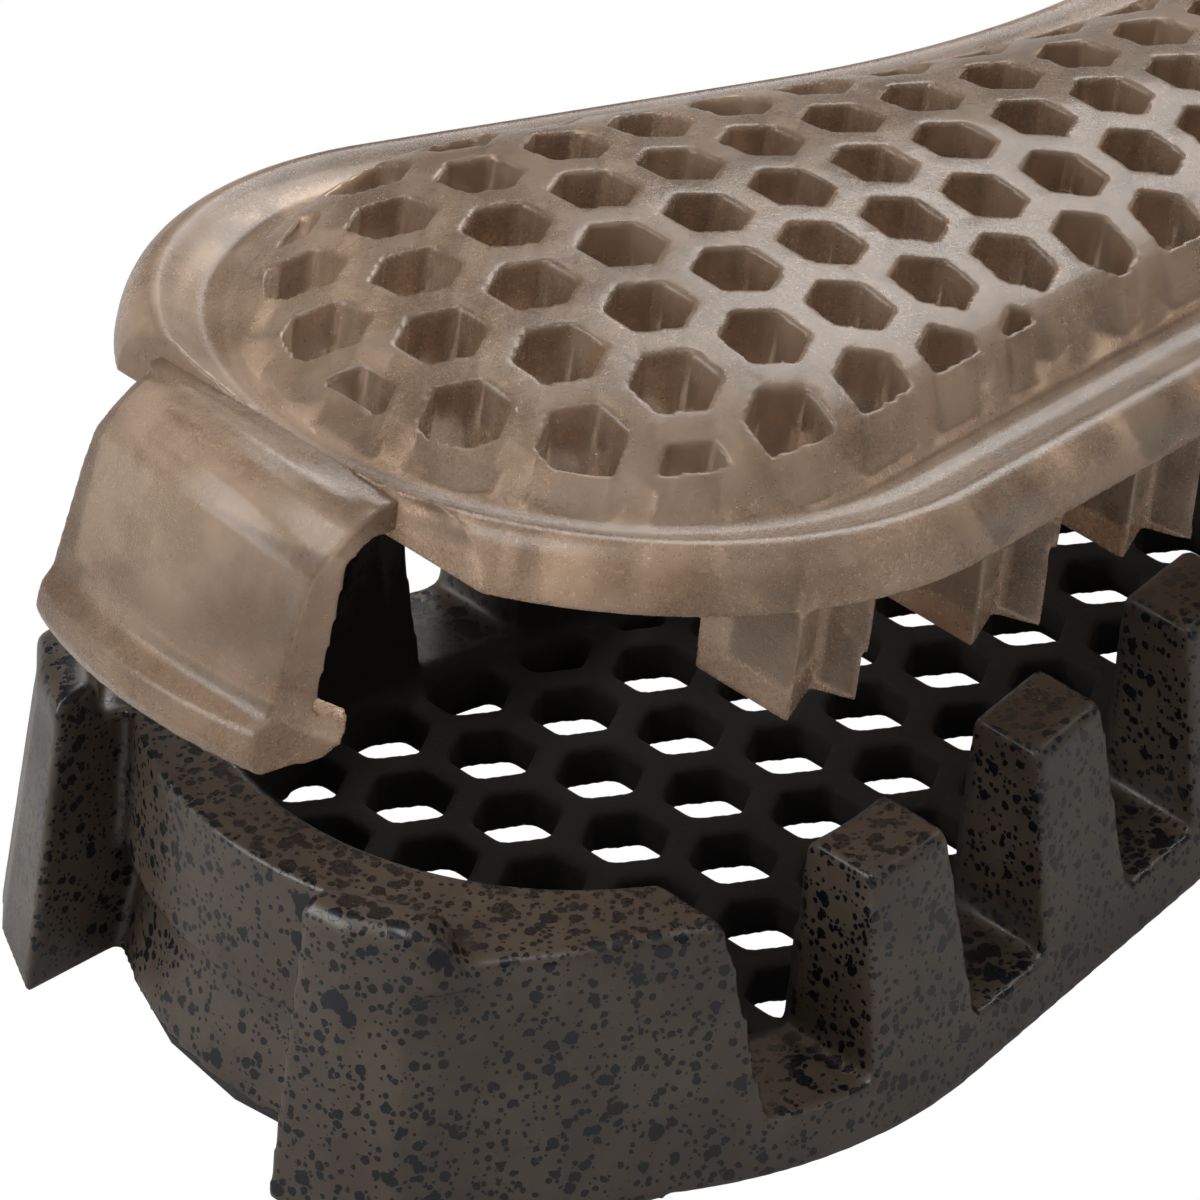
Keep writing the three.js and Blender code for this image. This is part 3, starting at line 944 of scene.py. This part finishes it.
for piece, body, node, finishSlot in (
    (tray, "base", "tray", "tray_plastic"), (cap, "cap", "grip_cap", "cap_rubber"),
):
    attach(piece, body)
    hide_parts(node)


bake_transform(frontTab)
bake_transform(rearTab)
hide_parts("front_tab")
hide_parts("rear_tab")


# Stage, lights and camera

studio = {
    "azimuth": math.radians(-133.47),
    "elevation": math.radians(34.08),
    "roll": math.radians(0.67),
    "distance": 0.4322,
    "aim": (-0.0424, -0.0014, 0.0206),
    "lens": 252.9,
    "skyStrength": 0.16,
    "lamps": {
        # name: azimuth from the camera, elevation, distance, size, watts
        "overheadBox": (-20, 72, 0.7, 0.35, 2.4),
        "leftBox": (-72, 26, 0.7, 0.40, 3.4),
        "rearStrip": (155, 38, 0.7, 0.45, 3.4),
        "rightFill": (60, 30, 0.8, 0.5, 0.6),
    },
}


def makeStage():
    side = 3.0
    floor = bpy.data.meshes.new("paleFloor")
    corners = [(-side, -side, 0), (side, -side, 0), (side, side, 0), (-side, side, 0)]
    floor.from_pydata(corners, [], [(0, 1, 2, 3)])
    paleFloor = bpy.data.objects.new("paleFloor", floor)
    paleFloor.location.z = -0.0002
    bpy.context.scene.collection.objects.link(paleFloor)
    material = bpy.data.materials.new("lightTable")
    material.use_nodes = True
    tree = material.node_tree
    tree.nodes.clear()
    seen = tree.nodes.new("ShaderNodeLightPath")
    glow = tree.nodes.new("ShaderNodeEmission")
    glow.inputs["Color"].default_value = (1, 1, 1, 1)
    paper = tree.nodes.new("ShaderNodeBsdfDiffuse")
    paper.inputs["Color"].default_value = (0.5, 0.5, 0.5, 1)
    mix = tree.nodes.new("ShaderNodeMixShader")
    straight = mathNode(tree, "MAXIMUM", seen.outputs["Is Camera Ray"], seen.outputs["Is Transmission Ray"])
    tree.links.new(straight, mix.inputs[0])
    tree.links.new(paper.outputs[0], mix.inputs[1])
    tree.links.new(glow.outputs[0], mix.inputs[2])
    tree.links.new(mix.outputs[0], tree.nodes.new("ShaderNodeOutputMaterial").inputs[0])
    floor.materials.append(material)


def towards(azimuth, elevation, distance):
    flatReach = math.cos(elevation) * distance
    height = math.sin(elevation) * distance
    return Vector((math.cos(azimuth) * flatReach, math.sin(azimuth) * flatReach, height))


def makeStudio():
    scene = bpy.context.scene
    aim = Vector(studio["aim"])
    for name, (azimuth, elevation, distance, size, watts) in studio["lamps"].items():
        lamp = bpy.data.lights.new(name, "AREA")
        lamp.size = size
        lamp.energy = watts
        lampObject = bpy.data.objects.new(name, lamp)
        away = towards(studio["azimuth"] + math.radians(azimuth), math.radians(elevation), distance)
        lampObject.location = aim + away
        lampObject.rotation_euler = away.to_track_quat("Z", "Y").to_euler()
        scene.collection.objects.link(lampObject)
    world = bpy.data.worlds.new("studioAir")
    scene.world = world
    world.use_nodes = True
    tree = world.node_tree
    tree.nodes.clear()
    seen = tree.nodes.new("ShaderNodeLightPath")
    white = tree.nodes.new("ShaderNodeBackground")
    white.inputs[1].default_value = 1.0
    white.inputs[0].default_value = (1, 1, 1, 1)
    soft = tree.nodes.new("ShaderNodeBackground")
    soft.inputs[0].default_value = (1, 1, 1, 1)
    soft.inputs[1].default_value = studio["skyStrength"]
    mix = tree.nodes.new("ShaderNodeMixShader")
    straight = mathNode(tree, "MAXIMUM", seen.outputs["Is Camera Ray"], seen.outputs["Is Transmission Ray"])
    tree.links.new(straight, mix.inputs[0])
    tree.links.new(soft.outputs[0], mix.inputs[1])
    tree.links.new(white.outputs[0], mix.inputs[2])
    tree.links.new(mix.outputs[0], tree.nodes.new("ShaderNodeOutputWorld").inputs[0])
    lens = bpy.data.cameras.new("portrait")
    lens.lens = studio["lens"]
    lens.sensor_width = 36
    lens.clip_start = 0.01
    camera = bpy.data.objects.new("portrait", lens)
    away = towards(studio["azimuth"], studio["elevation"], studio["distance"])
    camera.matrix_world = (Matrix.Translation(aim + away) @ away.to_track_quat("Z", "Y").to_matrix().to_4x4()
                           @ Matrix.Rotation(studio["roll"], 4, "Z"))
    scene.collection.objects.link(camera)
    scene.camera = camera
    scene.view_settings.view_transform = "Standard"
    scene.view_settings.look = "None"


makeStage()
makeStudio()
print("studio ready")
